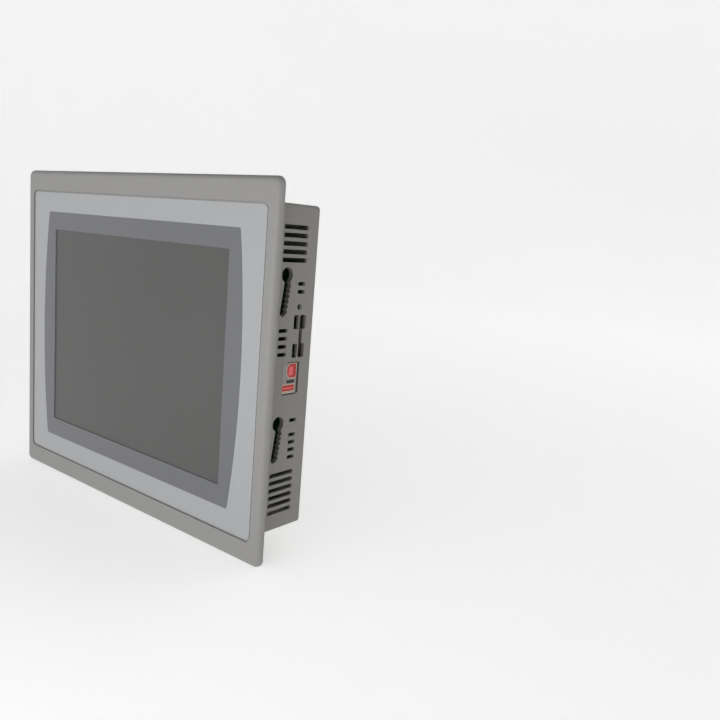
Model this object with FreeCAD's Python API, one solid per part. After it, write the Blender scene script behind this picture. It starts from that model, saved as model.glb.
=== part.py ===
import FreeCAD, Part
import math
import os

# Industrial touch-panel terminal for a cabinet door, in millimetres.
# X runs to the right as the operator sees it, Z up, and Y into the cabinet.
# Y = 0 is the back of the front flange, which seats on the door; the origin is the cut-out's centre.

V = FreeCAD.Vector

# ---- driving dimensions -------------------------------------------------------------------------
BEZEL_W, BEZEL_H = 297.0, 252.0
FLANGE_T = 4.8
DEPTH = 69.6
BEZEL_CORNER, BEZEL_EDGE = 5.5, 3.9
SPIGOT_W, SPIGOT_H, SPIGOT_DEEP = 261.8, 217.6, 6.0

OVERLAY_W, OVERLAY_H, OVERLAY_Z = 276.6, 217.8, -0.3
FILM_T, POCKET_DEEP, POCKET_GAP = 0.4, 1.1, 1.2
MASK_HALF_H, MASK_CORNER_X, MASK_MID_X = 93.6, 115.3, 122.2
VIEW_W, VIEW_H = 211.2, 158.4
WINDOW_W, WINDOW_H = 226.0, 174.0
TOUCH_W, TOUCH_H, TOUCH_T = 224.0, 172.0, 2.4
GLUE_T, GLUE_INSET = 0.3, 0.5
SEAL_OUT, SEAL_IN = (222.0, 170.0), (215.0, 162.0)
GROOVE_OUT, GROOVE_IN, GROOVE_DEEP = (286.0, 241.2), (273.2, 228.4), 1.4
GASKET_GAP, GASKET_PROUD = 0.2, 1.2

HOUSING_X, HOUSING_Z, HOUSING_Y = 133.3, 111.2, 50.3
HOUSING_CORNER, HOUSING_EDGE = 2.5, 2.2
WALL, BACK_WALL = 2.0, 2.5
COVER_X, COVER_Z = 118.0, (-74.0, 98.0)
BAY_X, BAY_Y, BAY_CEILING = 102.0, 36.0, -74.0
PORT_X, PORT_Y = 98.0, (38.0, 61.0)
BACK_OPENING_X, BACK_OPENING_TOP = 102.0, 82.0

LCD_W, LCD_H, LCD_Y, LCD_T = 243.0, 184.0, 1.0, 9.5
LCD_SHEET = 0.8
PLATE_Y, PLATE_T, PLATE_H = 13.0, 1.2, 204.0
BOARD_X, BOARD_Z = (-104.0, 127.5), (-70.4, 74.0)
BOARD_Y, BOARD_T = 39.8, 1.6

SCREW_R, SCREW_HOLE_R, CLEAR_HOLE_R = 1.45, 1.5, 1.7
HEAD_R, HEAD_T = 2.8, 1.8
WELL_R, WELL_DEEP = 3.4, 3.2
TUBE_R = 4.2
HOUSING_SCREWS = [(x, z) for x in (-124.0, 124.0) for z in (-101.0, 101.0)]
COVER_SCREWS = [(x, z) for x in (-108.5, 108.5) for z in (-62.0, 88.0)]
PLATE_SCREWS = [(x, z) for x in (-90.0, 90.0) for z in (-98.0, 98.0)]
LCD_SCREWS = [(x, z) for x in (-60.0, 60.0) for z in (-96.0, 96.0)]
BOARD_SCREWS = [(x, z) for x in (-96.0, 4.0, 118.0) for z in (-58.0, 66.0)]

FRONT = -FLANGE_T
FILM_BACK = FRONT + POCKET_DEEP
TOUCH_Y = FILM_BACK + GLUE_T
REAR = DEPTH - FLANGE_T
BOARD_BACK = BOARD_Y + BOARD_T
BACK_WALL_Y = HOUSING_Y - BACK_WALL
COVER_INNER_Y = REAR - WALL

# Vents and lever slots in the walls; Y limits first, then places along the wall
VENT_Y = (16.7, 39.2)
VENT_PITCH, VENT_H, VENT_ROUND = 5.33, 3.0, 0.9
SMALL_H = 2.6
SMALL_BACK_Y = (32.6, 39.2)
SMALL_FRONT_Y = (17.0, 25.0)
KEYHOLE_HEADS_Z, KEYHOLE_HEADS_X = (65.2, -34.9), (-70.0, 104.0)
KEYHOLE_Y, KEYHOLE_R = 21.9, 5.1
KEYHOLE_RUN, KEYHOLE_LEAN, KEYHOLE_W, RUN_SHIFT = 24.4, 3.4, 5.5, 1.2
PAD_T, PAD_Y, PAD_ABOVE, PAD_BELOW = 1.4, (14.6, 29.2), 7.0, 29.0
NOTCHES, NOTCH_PITCH, NOTCH_R = 6, 3.4, 1.35
NOTCH_END, NOTCH_SET_BACK = 0.4, 0.9
CUT_REACH = 4.0
CARD_SLIT_Y = (36.4, 39.6)
CARD_Z = (9.7, 38.7)
CARD_WINDOW = 9.6
CARD_BACK_Y, CARD_FRONT_Y = 42.2, (30.8, 35.4)
RESET_Y, RESET_Z, RESET_HOLE_R = 35.2, 44.2, 2.0

# Power plug: three poles, wires from below, screws facing the back
POLE_PITCH, POLES_X = 5.08, -65.0
HEADER_Y, HEADER_MOUTH = (41.4, 52.4), -72.6
PLUG_W, PLUG_Y = 15.8, (41.9, 52.9)
PLUG_Z = (-84.1, -72.9)
SCREW_Z = -79.0
POLES = [POLES_X + (i - 1) * POLE_PITCH for i in range(3)]

# Ports along the underside, left to right
EARTH_X, EARTH_Y, EARTH_R, NUT_T = -90.0, 50.0, 2.0, 3.2
ETHERNET_X = (-32.0, -10.0)
USB_HOST_X = (14.0, 34.0)
USB_DEVICE_X = 56.0
PORT_FACE = -72.6

# Battery door in the rear cover
DOOR_X, DOOR_Z, DOOR_T = (-92.0, -58.0), (43.0, 78.0), 1.8
DOOR_GAP, BARREL_R, PIN_R = 0.3, 1.3, 0.7
CELL_X, CELL_Z, CELL_R, CELL_T = -75.0, 60.0, 10.0, 3.2

# Labels: one on the right wall, one in a recess in the rear cover
LABEL_T = 0.2
SIDE_LABEL_Y, SIDE_LABEL_Z = (22.7, 38.4), (-15.6, 6.8)
RECESS_X, RECESS_Z, RECESS_DEEP, RECESS_GAP = (18.0, 90.0), (-52.0, -10.0), 0.3, 0.3


# ---- shapes used all over -----------------------------------------------------------------------
def box(x, y, z):
    """Block between the two limits given on each axis."""
    return Part.makeBox(x[1] - x[0], y[1] - y[0], z[1] - z[0], V(x[0], y[0], z[0]))


def centred(x, width, y, z):
    """Block of the given width about x."""
    return box((x - width / 2, x + width / 2), y, z)


def rod(axis, start, length, r):
    """Cylinder from a start point along +X, +Y or +Z."""
    return Part.makeCylinder(r, length, V(*start), V(*[int(a == axis) for a in "xyz"]))


def along(shape, axis):
    """Straight edges of a shape that run along one axis."""
    return [e for e in shape.Edges
            if isinstance(e.Curve, Part.Line) and abs(getattr(e.Curve.Direction, axis)) > 0.999]


def at_y(shape, y):
    """Edges that lie in the plane at one Y."""
    return [e for e in shape.Edges
            if abs(e.BoundBox.YMin - y) < 1e-4 and abs(e.BoundBox.YMax - y) < 1e-4]


def plate(width, height, y, corner, z_mid=0.0):
    """Flat plate facing the operator, with round corners."""
    blank = box((-width / 2, width / 2), y, (z_mid - height / 2, z_mid + height / 2))
    return blank.makeFillet(corner, along(blank, "y"))


def window_frame(outer, inner, y, corner, z_mid=0.0):
    """Ring between two rectangles, each given as (width, height)."""
    hole = plate(inner[0], inner[1], y, corner, z_mid)
    return plate(outer[0], outer[1], y, corner, z_mid).cut(hole)


def fused(shapes):
    """One solid out of several that touch."""
    return shapes[0].fuse(shapes[1:]).removeSplitter()


def group(shapes):
    """Several separate solids kept as one sub-part."""
    return Part.makeCompound(shapes)


def pan_screw(x, z, seat, length):
    """Cross-head screw with its head behind the seat and its shank towards the front."""
    head = rod("y", (x, seat, z), HEAD_T, HEAD_R)
    head = head.makeFillet(0.7, at_y(head, seat + HEAD_T))
    shank = rod("y", (x, seat - length, z), length, SCREW_R)
    cross = [centred(x, w, (seat + HEAD_T - 1.0, seat + HEAD_T + 1.0), (z - h / 2, z + h / 2))
             for w, h in ((3.0, 0.7), (0.7, 3.0))]
    return head.fuse(shank).cut(cross).removeSplitter()


# ---- front frame, films and seal ----------------------------------------------------------------
def bezel_frame():
    """Moulded front frame with a flange, a film pocket, a window and a spigot for the housing."""
    body = plate(BEZEL_W, BEZEL_H, (FRONT, 0.0), BEZEL_CORNER)
    body = body.makeFillet(BEZEL_EDGE, at_y(body, FRONT))
    pocket = plate(OVERLAY_W + 2 * POCKET_GAP, OVERLAY_H + 2 * POCKET_GAP,
                   (FRONT - 1.0, FILM_BACK), 4.2, OVERLAY_Z)
    window = plate(WINDOW_W, WINDOW_H, (FRONT - 1.0, 1.0), 2.0)
    groove = window_frame(GROOVE_OUT, GROOVE_IN, (-GROOVE_DEEP, 1.0), 3.0)
    body = body.cut([pocket, window, groove])
    spigot = window_frame((SPIGOT_W, SPIGOT_H), (SPIGOT_W - 4.0, SPIGOT_H - 4.0),
                          (0.0, SPIGOT_DEEP), 1.5)
    bosses = [rod("y", (x, 0.0, z), 8.0, TUBE_R) for x, z in HOUSING_SCREWS]
    bosses += [rod("y", (x, 0.0, z), PLATE_Y, 3.6) for x, z in PLATE_SCREWS]
    bosses += [rod("y", (x, 0.0, z), 6.0, 3.6) for x, z in LCD_SCREWS]
    holes = [rod("y", (x, -2.0, z), 20.0, SCREW_HOLE_R)
             for x, z in HOUSING_SCREWS + PLATE_SCREWS + LCD_SCREWS]
    return body.fuse([spigot] + bosses).cut(holes).removeSplitter()


def mask_outline(y):
    """Plate with straight top and bottom and sides that bulge outwards."""
    top, bottom = MASK_HALF_H + OVERLAY_Z, -MASK_HALF_H + OVERLAY_Z
    corners = [V(-MASK_CORNER_X, y[0], top), V(MASK_CORNER_X, y[0], top),
               V(MASK_CORNER_X, y[0], bottom), V(-MASK_CORNER_X, y[0], bottom)]
    right = Part.Arc(corners[1], V(MASK_MID_X, y[0], OVERLAY_Z), corners[2]).toShape()
    left = Part.Arc(corners[3], V(-MASK_MID_X, y[0], OVERLAY_Z), corners[0]).toShape()
    edges = [Part.LineSegment(corners[0], corners[1]).toShape(), right,
             Part.LineSegment(corners[2], corners[3]).toShape(), left]
    blank = Part.Face(Part.Wire(edges)).extrude(V(0, y[1] - y[0], 0))
    return blank.makeFillet(2.0, along(blank, "y"))


def front_overlay():
    """Silver printed film round the window."""
    film = (FILM_BACK - FILM_T, FILM_BACK)
    return plate(OVERLAY_W, OVERLAY_H, film, 3.6, OVERLAY_Z).cut(mask_outline(film))


def window_mask():
    """Grey printed border of the touch window."""
    film = (FILM_BACK - FILM_T, FILM_BACK)
    return mask_outline(film).cut(plate(VIEW_W, VIEW_H, film, 0.6))


def overlay_adhesive():
    """Adhesive ring between the films and the touch sensor."""
    outer = (TOUCH_W - 2 * GLUE_INSET, TOUCH_H - 2 * GLUE_INSET)
    return window_frame(outer, (VIEW_W, VIEW_H), (FILM_BACK, TOUCH_Y), 0.6)


def touch_panel():
    """Glass of the touch sensor, which is what the operator presses."""
    return plate(TOUCH_W, TOUCH_H, (TOUCH_Y, TOUCH_Y + TOUCH_T), 1.5)


def display_seal():
    """Foam ring that keeps dust out between the sensor and the display."""
    return window_frame(SEAL_OUT, SEAL_IN, (TOUCH_Y + TOUCH_T, LCD_Y), 1.0)


def panel_gasket():
    """Foam gasket in the flange's groove, standing proud of it before it is squeezed."""
    outer = [size - 2 * GASKET_GAP for size in GROOVE_OUT]
    inner = [size + 2 * GASKET_GAP for size in GROOVE_IN]
    return window_frame(outer, inner, (-GROOVE_DEEP, GASKET_PROUD), 3.0)


# ---- display module -----------------------------------------------------------------------------
def lcd_frame():
    """Pressed steel frame of the display with four fixing ears."""
    y = (LCD_Y, LCD_Y + LCD_T)
    can = plate(LCD_W, LCD_H, y, 1.5)
    inside = plate(LCD_W - 2 * LCD_SHEET, LCD_H - 2 * LCD_SHEET, (LCD_Y + LCD_SHEET, y[1]), 0.7)
    opening = plate(215.0, 162.0, (LCD_Y, LCD_Y + LCD_SHEET), 0.5)
    ears = []
    for x, z in LCD_SCREWS:
        side = 1 if z > 0 else -1
        reach = sorted((side * (LCD_H / 2 - 0.3), side * 100.0))
        ears.append(centred(x, 9.0, (6.0, 7.0), reach))
    holes = [rod("y", (x, 5.0, z), 3.0, CLEAR_HOLE_R) for x, z in LCD_SCREWS]
    return can.cut([inside, opening]).fuse(ears).cut(holes).removeSplitter()


def lcd_glass():
    """Liquid-crystal cell, two sheets of glass with their polarisers."""
    return plate(226.0, 173.0, (LCD_Y + LCD_SHEET, LCD_Y + 2.6), 0.5)


def light_guide():
    """Acrylic sheet that spreads the backlight."""
    return box((-117.0, 117.0), (LCD_Y + 2.9, LCD_Y + 6.7), (-85.5, 88.0))


def backlight_tray():
    """White tray behind the light guide."""
    y = (LCD_Y + 2.6, LCD_Y + LCD_T)
    tray = box((-119.5, 119.5), y, (-90.2, 90.2))
    return tray.cut(box((-118.0, 118.0), (y[0], y[1] - 1.6), (-88.7, 88.7)))


def led_bar():
    """Strip of backlight LEDs along the lower edge of the light guide."""
    strip = box((-112.0, 112.0), (LCD_Y + 3.2, LCD_Y + 6.4), (-88.4, -87.4))
    leds = [centred(x, 5.0, (LCD_Y + 3.6, LCD_Y + 6.0), (-87.4, -86.2)) for x in range(-104, 105, 16)]
    return group([strip] + leds)


# ---- housing ------------------------------------------------------------------------------------
def vent(wall_x, y, z, height):
    """Slot through a side wall, running towards the back, with softened corners."""
    slot = box((wall_x - CUT_REACH, wall_x + CUT_REACH), y, (z - height / 2, z + height / 2))
    return slot.makeFillet(VENT_ROUND, along(slot, "x"))


def keyhole(wall_x, head_z):
    """Opening for a clamping lever: round head, leaning run below it, notches on its back edge."""
    x = (wall_x - CUT_REACH, wall_x + CUT_REACH)
    start = V(x[0], KEYHOLE_Y + RUN_SHIFT, head_z)
    end = start - V(0, KEYHOLE_LEAN, KEYHOLE_RUN)
    half = V(0, KEYHOLE_W / 2, 0)
    outline = [start - half, start + half, end + half, end - half, start - half]
    run = Part.Face(Part.makePolygon(outline)).extrude(V(x[1] - x[0], 0, 0))
    cuts = [run, rod("x", (x[0], KEYHOLE_Y, head_z), x[1] - x[0], KEYHOLE_R),
            rod("x", tuple(end), x[1] - x[0], KEYHOLE_W / 2)]
    for i in range(NOTCHES):
        share = (KEYHOLE_RUN - NOTCH_END - i * NOTCH_PITCH) / KEYHOLE_RUN
        middle = start + (end - start) * share + half * NOTCH_SET_BACK
        cuts.append(rod("x", tuple(middle), x[1] - x[0], NOTCH_R))
    return fused(cuts)


def lever_pad(side, head_z):
    """Thickened patch inside a side wall, round a keyhole, that takes the pull of the lever."""
    x = sorted((side * (HOUSING_X - WALL + 0.1), side * (HOUSING_X - WALL - PAD_T)))
    return box(x, PAD_Y, (head_z - PAD_BELOW, head_z + PAD_ABOVE))


def end_pad(side, head_x):
    """The same patch inside the top or bottom wall."""
    z = sorted((side * (HOUSING_Z - WALL + 0.1), side * (HOUSING_Z - WALL - PAD_T)))
    return box((-head_x - PAD_ABOVE, -head_x + PAD_BELOW), PAD_Y, z)


def side_cuts(side):
    """Vents and lever keyholes shared by the left (-1) and right (1) walls."""
    wall = side * (HOUSING_X - WALL / 2)
    cuts = [vent(wall, VENT_Y, 96.3 - i * VENT_PITCH, VENT_H) for i in range(5)]
    cuts += [vent(wall, VENT_Y, -70.9 - i * VENT_PITCH, VENT_H) for i in range(6)]
    cuts += [vent(wall, SMALL_BACK_Y, z, SMALL_H) for z in (59.5, 54.2, -33.9)]
    cuts += [vent(wall, SMALL_BACK_Y, -44.2 - i * VENT_PITCH, SMALL_H) for i in range(4)]
    cuts += [vent(wall, SMALL_FRONT_Y, 28.6 - i * VENT_PITCH, SMALL_H) for i in range(4)]
    cuts += [keyhole(wall, z) for z in KEYHOLE_HEADS_Z]
    return cuts


def end_cuts(side):
    """Vents and lever keyholes of the top (1) and bottom (-1) walls, laid out along X."""
    wall = side * (HOUSING_Z - WALL / 2)
    reach = VENT_Y if side > 0 else (VENT_Y[0], 31.0)
    cuts = [vent(wall, reach, x + i * VENT_PITCH, VENT_H) for x in (-50.0, 12.7) for i in range(8)]
    cuts += [keyhole(wall, x) for x in KEYHOLE_HEADS_X]
    for cut in cuts:
        cut.rotate(V(0, 0, 0), V(0, 1, 0), -90)
    return cuts


def card_cuts():
    """Memory-card slit with finger windows at both ends, and the reset pinhole."""
    x = (HOUSING_X - 5.0, HOUSING_X + 3.0)
    cuts = [box(x, CARD_SLIT_Y, (CARD_Z[0] + 0.6, CARD_Z[1] - 0.6))]
    for low in (CARD_Z[0], CARD_Z[1] - CARD_WINDOW):
        z = (low, low + CARD_WINDOW)
        back = box(x, (CARD_SLIT_Y[0], CARD_BACK_Y), z)
        cuts.append(back.makeFillet(1.4, along(back, "x")))
        front = box(x, CARD_FRONT_Y, z)
        cuts.append(front.makeFillet(0.8, along(front, "x")))
    cuts.append(rod("x", (x[0], RESET_Y, RESET_Z), x[1] - x[0], RESET_HOLE_R))
    return cuts


def housing_shell():
    """Moulded housing with vented walls and a bay for the plugs in its underside."""
    outer = box((-HOUSING_X, HOUSING_X), (0.0, HOUSING_Y), (-HOUSING_Z, HOUSING_Z))
    outer = outer.makeFillet(HOUSING_CORNER, along(outer, "y"))
    outer = outer.makeFillet(HOUSING_EDGE, at_y(outer, HOUSING_Y))
    inner = plate(2 * (HOUSING_X - WALL), 2 * (HOUSING_Z - WALL), (-1.0, BACK_WALL_Y), 1.5)
    bay_wall = box((-BAY_X - WALL, BAY_X + WALL), (BAY_Y - WALL, HOUSING_Y),
                   (-HOUSING_Z, BAY_CEILING + WALL))
    bay = box((-BAY_X, BAY_X), (BAY_Y, HOUSING_Y + 1.0), (-HOUSING_Z - 1.0, BAY_CEILING))
    ports = box((-PORT_X, PORT_X), (PORT_Y[0], HOUSING_Y + 1.0), (BAY_CEILING - 1.0, -71.0))
    opening = box((-BACK_OPENING_X, BACK_OPENING_X), (BACK_WALL_Y - 1.0, HOUSING_Y + 1.0),
                  (BAY_CEILING + WALL, BACK_OPENING_TOP))
    opening = opening.makeFillet(4.0, [e for e in along(opening, "y") if e.BoundBox.ZMin > 0])
    tubes = [rod("y", (x, 8.05, z), BACK_WALL_Y - 7.05, TUBE_R) for x, z in HOUSING_SCREWS]
    bosses = [rod("y", (x, 42.6, z), BACK_WALL_Y - 41.6, 4.0) for x, z in COVER_SCREWS]
    holes = [rod("y", (x, 8.0, z), 45.0, CLEAR_HOLE_R) for x, z in HOUSING_SCREWS]
    holes += [rod("y", (x, HOUSING_Y - WELL_DEEP, z), 5.0, WELL_R) for x, z in HOUSING_SCREWS]
    holes += [rod("y", (x, 43.2, z), 8.0, SCREW_HOLE_R) for x, z in COVER_SCREWS]
    pads = [lever_pad(side, z) for side in (-1, 1) for z in KEYHOLE_HEADS_Z]
    pads += [end_pad(side, x) for side in (-1, 1) for x in KEYHOLE_HEADS_X]
    ribs = [bay_wall] + tubes + bosses + pads
    shell = outer.cut(inner).fuse(ribs).cut([bay, ports, opening] + holes)
    shell = shell.cut(side_cuts(1) + side_cuts(-1) + end_cuts(1) + end_cuts(-1) + card_cuts())
    return shell.removeSplitter()


def housing_screws():
    """Long screws that pull the housing onto the front frame."""
    seat = HOUSING_Y - WELL_DEEP
    return group([pan_screw(x, z, seat, seat - 0.5) for x, z in HOUSING_SCREWS])


# ---- rear cover and battery door ----------------------------------------------------------------
def hinge_z():
    """Height of the battery door's hinge axis."""
    return DOOR_Z[1] - DOOR_GAP - BARREL_R


def rear_cover():
    """Raised cover over the electronics, vented, with a flush battery door opening."""
    x = (-COVER_X, COVER_X)
    outer = box(x, (HOUSING_Y, REAR), COVER_Z)
    outer = outer.makeFillet(5.0, along(outer, "y"))
    outer = outer.makeFillet(2.6, at_y(outer, REAR))
    inner = box((x[0] + WALL, x[1] - WALL), (HOUSING_Y - 1.0, COVER_INNER_Y),
                (COVER_Z[0] + WALL, COVER_Z[1] - WALL))
    inner = inner.makeFillet(3.0, along(inner, "y"))
    shell = outer.cut(inner)
    tubes = [rod("y", (sx, HOUSING_Y, sz), COVER_INNER_Y - HOUSING_Y + 0.5, TUBE_R)
             for sx, sz in COVER_SCREWS]
    rim = box((DOOR_X[0] - 4.0, DOOR_X[1] + 4.0), (COVER_INNER_Y - 2.2, COVER_INNER_Y),
              (DOOR_Z[0] - 2.0, DOOR_Z[1] + 2.0))
    shell = shell.fuse(tubes + [rim])
    cuts = [box((-PORT_X, PORT_X), (HOUSING_Y - 1.0, PORT_Y[1]), (COVER_Z[0] - 1.0, -71.5))]
    cuts += [rod("y", (sx, HOUSING_Y - 1.0, sz), 20.0, CLEAR_HOLE_R) for sx, sz in COVER_SCREWS]
    cuts += [rod("y", (sx, REAR - WELL_DEEP, sz), 5.0, WELL_R) for sx, sz in COVER_SCREWS]
    cuts.append(box(DOOR_X, (HOUSING_Y, REAR + 1.0), DOOR_Z))
    cuts.append(rod("x", (DOOR_X[0] - 2.5, REAR - BARREL_R, hinge_z()),
                    DOOR_X[1] - DOOR_X[0] + 5.0, PIN_R + 0.06))
    cuts.append(box(RECESS_X, (REAR - RECESS_DEEP, REAR + 1.0), RECESS_Z))
    cuts += rear_vents()
    return shell.cut(cuts).removeSplitter()


def rear_slot(x, z, height):
    """Upright round-ended slot through the cover's back."""
    r = height / 2
    y = (COVER_INNER_Y - 1.0, REAR + 1.0)
    ends = [rod("y", (x, y[0], end), y[1] - y[0], r) for end in (z[0] + r, z[1] - r)]
    return fused([box((x - r, x + r), y, (z[0] + r, z[1] - r))] + ends)


def rear_vents():
    """Upright slots over the heat sink and rows of slots in the cover's top and side walls."""
    cuts = [rear_slot(-39.0 + i * 6.0, (19.0, 61.0), 2.6) for i in range(14)]
    for i in range(20):
        top = vent(COVER_Z[1] - 1.0, (52.0, 60.5), -66.5 + i * 7.0, 2.6)
        top.rotate(V(0, 0, 0), V(0, 1, 0), -90)
        cuts.append(top)
    for side in (-1, 1):
        wall = side * (COVER_X - 1.0)
        cuts += [vent(wall, (52.0, 60.5), -36.0 + i * 7.0, 2.6) for i in range(14)]
    return cuts


def cover_screws():
    """Screws that hold the rear cover on the housing."""
    return group([pan_screw(x, z, REAR - WELL_DEEP, 17.0) for x, z in COVER_SCREWS])


def battery_door():
    """Flush door over the backup battery, hinged on two moulded pins along its upper edge."""
    x = (DOOR_X[0] + DOOR_GAP, DOOR_X[1] - DOOR_GAP)
    leaf = box(x, (REAR - DOOR_T, REAR), (DOOR_Z[0] + DOOR_GAP, hinge_z()))
    barrel = rod("x", (x[0], REAR - BARREL_R, hinge_z()), x[1] - x[0], BARREL_R)
    pins = rod("x", (x[0] - 2.0, REAR - BARREL_R, hinge_z()), x[1] - x[0] + 4.0, PIN_R)
    middle = (x[0] + x[1]) / 2
    grip = rod("z", (middle, REAR + 5.0, DOOR_Z[0]), 5.5, 6.3)
    return fused([leaf, barrel, pins]).cut(grip)


# ---- inner frame and electronics ----------------------------------------------------------------
def carrier_plate():
    """Folded steel plate behind the display that carries the main board."""
    sheet = plate(236.0, PLATE_H, (PLATE_Y, PLATE_Y + PLATE_T), 3.0)
    cuts = [box((28.0, 62.0), (PLATE_Y - 1, PLATE_Y + 3), (12.0, 26.0)),
            box((-24.0, 4.0), (PLATE_Y - 1, PLATE_Y + 3), (-103.0, -90.0))]
    cuts += [box((x, x + 26.0), (PLATE_Y - 1, PLATE_Y + 3), (z, z + 18.0))
             for x in (-86.0, -50.0, 70.0) for z in (-44.0, 34.0)]
    cuts += [rod("y", (x, PLATE_Y - 1, z), 4.0, CLEAR_HOLE_R) for x, z in PLATE_SCREWS]
    lip = centred(0.0, 160.0, (PLATE_Y, PLATE_Y + 9.0), (PLATE_H / 2 - PLATE_T, PLATE_H / 2))
    return sheet.fuse(lip).cut(cuts).removeSplitter()


def plate_screws():
    """Screws that hold the carrier plate on the front frame."""
    return group([pan_screw(x, z, PLATE_Y + PLATE_T, 10.0) for x, z in PLATE_SCREWS])


def lcd_screws():
    """Screws through the display's ears."""
    return group([pan_screw(x, z, 7.0, 7.0) for x, z in LCD_SCREWS])


def hexagon(x, z, y, across):
    """Hexagonal bar along Y."""
    r = across / math.sqrt(3)
    turns = [math.radians(60 * i) for i in range(7)]
    corners = [V(x + r * math.cos(turn), y[0], z + r * math.sin(turn)) for turn in turns]
    return Part.Face(Part.makePolygon(corners)).extrude(V(0, y[1] - y[0], 0))


def board_standoffs():
    """Brass spacers between the carrier plate and the main board."""
    y = (PLATE_Y + PLATE_T, BOARD_Y)
    return group([hexagon(x, z, y, 5.5).cut(rod("y", (x, y[1] - 9.0, z), 10.0, SCREW_HOLE_R))
                  for x, z in BOARD_SCREWS])


def board_screws():
    """Screws that hold the main board on its spacers."""
    return group([pan_screw(x, z, BOARD_BACK, 8.0) for x, z in BOARD_SCREWS])


def main_board():
    """Printed circuit board."""
    board = box(BOARD_X, (BOARD_Y, BOARD_BACK), BOARD_Z)
    board = board.makeFillet(2.0, along(board, "y"))
    return board.cut([rod("y", (x, BOARD_Y - 1, z), 4.0, CLEAR_HOLE_R) for x, z in BOARD_SCREWS])


def processor():
    """Processor package under the heat sink."""
    return centred(0.0, 27.0, (BOARD_BACK, BOARD_BACK + 2.0), (6.5, 33.5))


def thermal_pad():
    """Soft pad between the processor and the heat sink."""
    return centred(0.0, 25.0, (BOARD_BACK + 2.0, BOARD_BACK + 2.5), (7.5, 32.5))


def heat_sink():
    """Finned aluminium block."""
    base_y = BOARD_BACK + 2.5
    base = centred(0.0, 72.0, (base_y, base_y + 3.0), (-6.0, 48.0))
    fins = [centred(x, 1.4, (base_y + 2.0, base_y + 14.0), (-6.0, 48.0)) for x in range(-35, 36, 5)]
    legs = [rod("y", (x, BOARD_BACK, z), 3.0, 2.5) for x in (-30.0, 30.0) for z in (-1.0, 43.0)]
    return fused([base] + fins + legs)


def memory_chips():
    """Memory packages beside the processor."""
    return group([box((x, x + 14.0), (BOARD_BACK, BOARD_BACK + 1.2), (z, z + 12.0))
                  for x in (52.0, 72.0) for z in (4.0, 24.0)])


def capacitors():
    """Electrolytic capacitors of the power supply."""
    return group([rod("y", (-88.0 + i * 9.0, BOARD_BACK, -38.0), 10.5, 3.6) for i in range(5)])


def power_inductors():
    """Shielded inductors of the power supply."""
    return group([box((x, x + 12.0), (BOARD_BACK, BOARD_BACK + 6.5), (-26.0, -14.0))
                  for x in (-88.0, -70.0)])


def board_connectors():
    """White flat-cable sockets on the front of the board."""
    touch = box((-24.0, 4.0), (BOARD_Y - 3.0, BOARD_Y), (-66.0, -62.0))
    display = box((29.0, 61.0), (BOARD_Y - 3.0, BOARD_Y), (-2.0, 2.0))
    return group([touch, display])


def ribbon(x, runs):
    """Flat cable of one width made of runs at right angles, each given as (Y limits, Z limits)."""
    return fused([box(x, y, z) for y, z in runs])


def touch_cable():
    """Flat tail from the touch sensor round the display's lower edge to the board."""
    t = 0.2
    back = TOUCH_Y + TOUCH_T
    return ribbon((-20.0, 0.0), [
        ((back, back + t), (-86.4, -85.1)), ((back, 0.5), (-86.4, -86.4 + t)),
        ((0.3, 0.5), (-96.0, -86.2)), ((0.3, 32.0), (-96.0, -96.0 + t)),
        ((32.0 - t, 32.0), (-96.0, -64.0)), ((32.0 - t, BOARD_Y - 3.0), (-64.0 - t, -64.0))])


def lcd_cable():
    """Flat cable from the back of the display through the carrier plate to the board."""
    t = 0.3
    back = LCD_Y + LCD_T
    return ribbon((31.0, 59.0), [
        ((back, back + t), (0.0, 20.0)), ((back, 30.0), (20.0 - t, 20.0)),
        ((30.0 - t, 30.0), (0.0, 20.0)), ((30.0 - t, BOARD_Y - 3.0), (0.0, t))])


def battery_holder():
    """Round holder of the backup battery."""
    y = BOARD_BACK
    holder = rod("y", (CELL_X, y, CELL_Z), 5.0, CELL_R + 1.5)
    pocket = rod("y", (CELL_X, y + 1.4, CELL_Z), 5.0, CELL_R + 0.1)
    notch = centred(CELL_X, 9.0, (y + 1.4, y + 6.0), (CELL_Z - 13.0, CELL_Z - 7.0))
    return holder.cut([pocket, notch])


def coin_cell():
    """Backup battery."""
    cell = rod("y", (CELL_X, BOARD_BACK + 1.4, CELL_Z), CELL_T, CELL_R)
    return cell.makeFillet(0.4, at_y(cell, BOARD_BACK + 1.4 + CELL_T))


def card_socket():
    """Memory-card socket on the front of the board, open towards the side wall."""
    z_mid = sum(CARD_Z) / 2
    y = (36.2, BOARD_Y)
    body = box((97.0, BOARD_X[1]), y, (z_mid - 14.0, z_mid + 14.0))
    return body.cut(box((101.0, 130.0), (36.8, 39.3), (z_mid - 12.2, z_mid + 12.2)))


def reset_switch():
    """Side-press switch on the front of the board."""
    body = box((118.0, 124.5), (RESET_Y - 2.2, BOARD_Y), (RESET_Z - 3.0, RESET_Z + 3.0))
    return body.cut(rod("x", (121.0, RESET_Y, RESET_Z), 5.0, 1.3))


def reset_button():
    """Plunger of the reset switch, reached through the pinhole with a thin tool."""
    plunger = rod("x", (122.2, RESET_Y, RESET_Z), 8.6, 1.22)
    tip = [e for e in plunger.Edges if e.BoundBox.XMin > 130.7]
    return plunger.makeFillet(0.5, tip)


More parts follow.
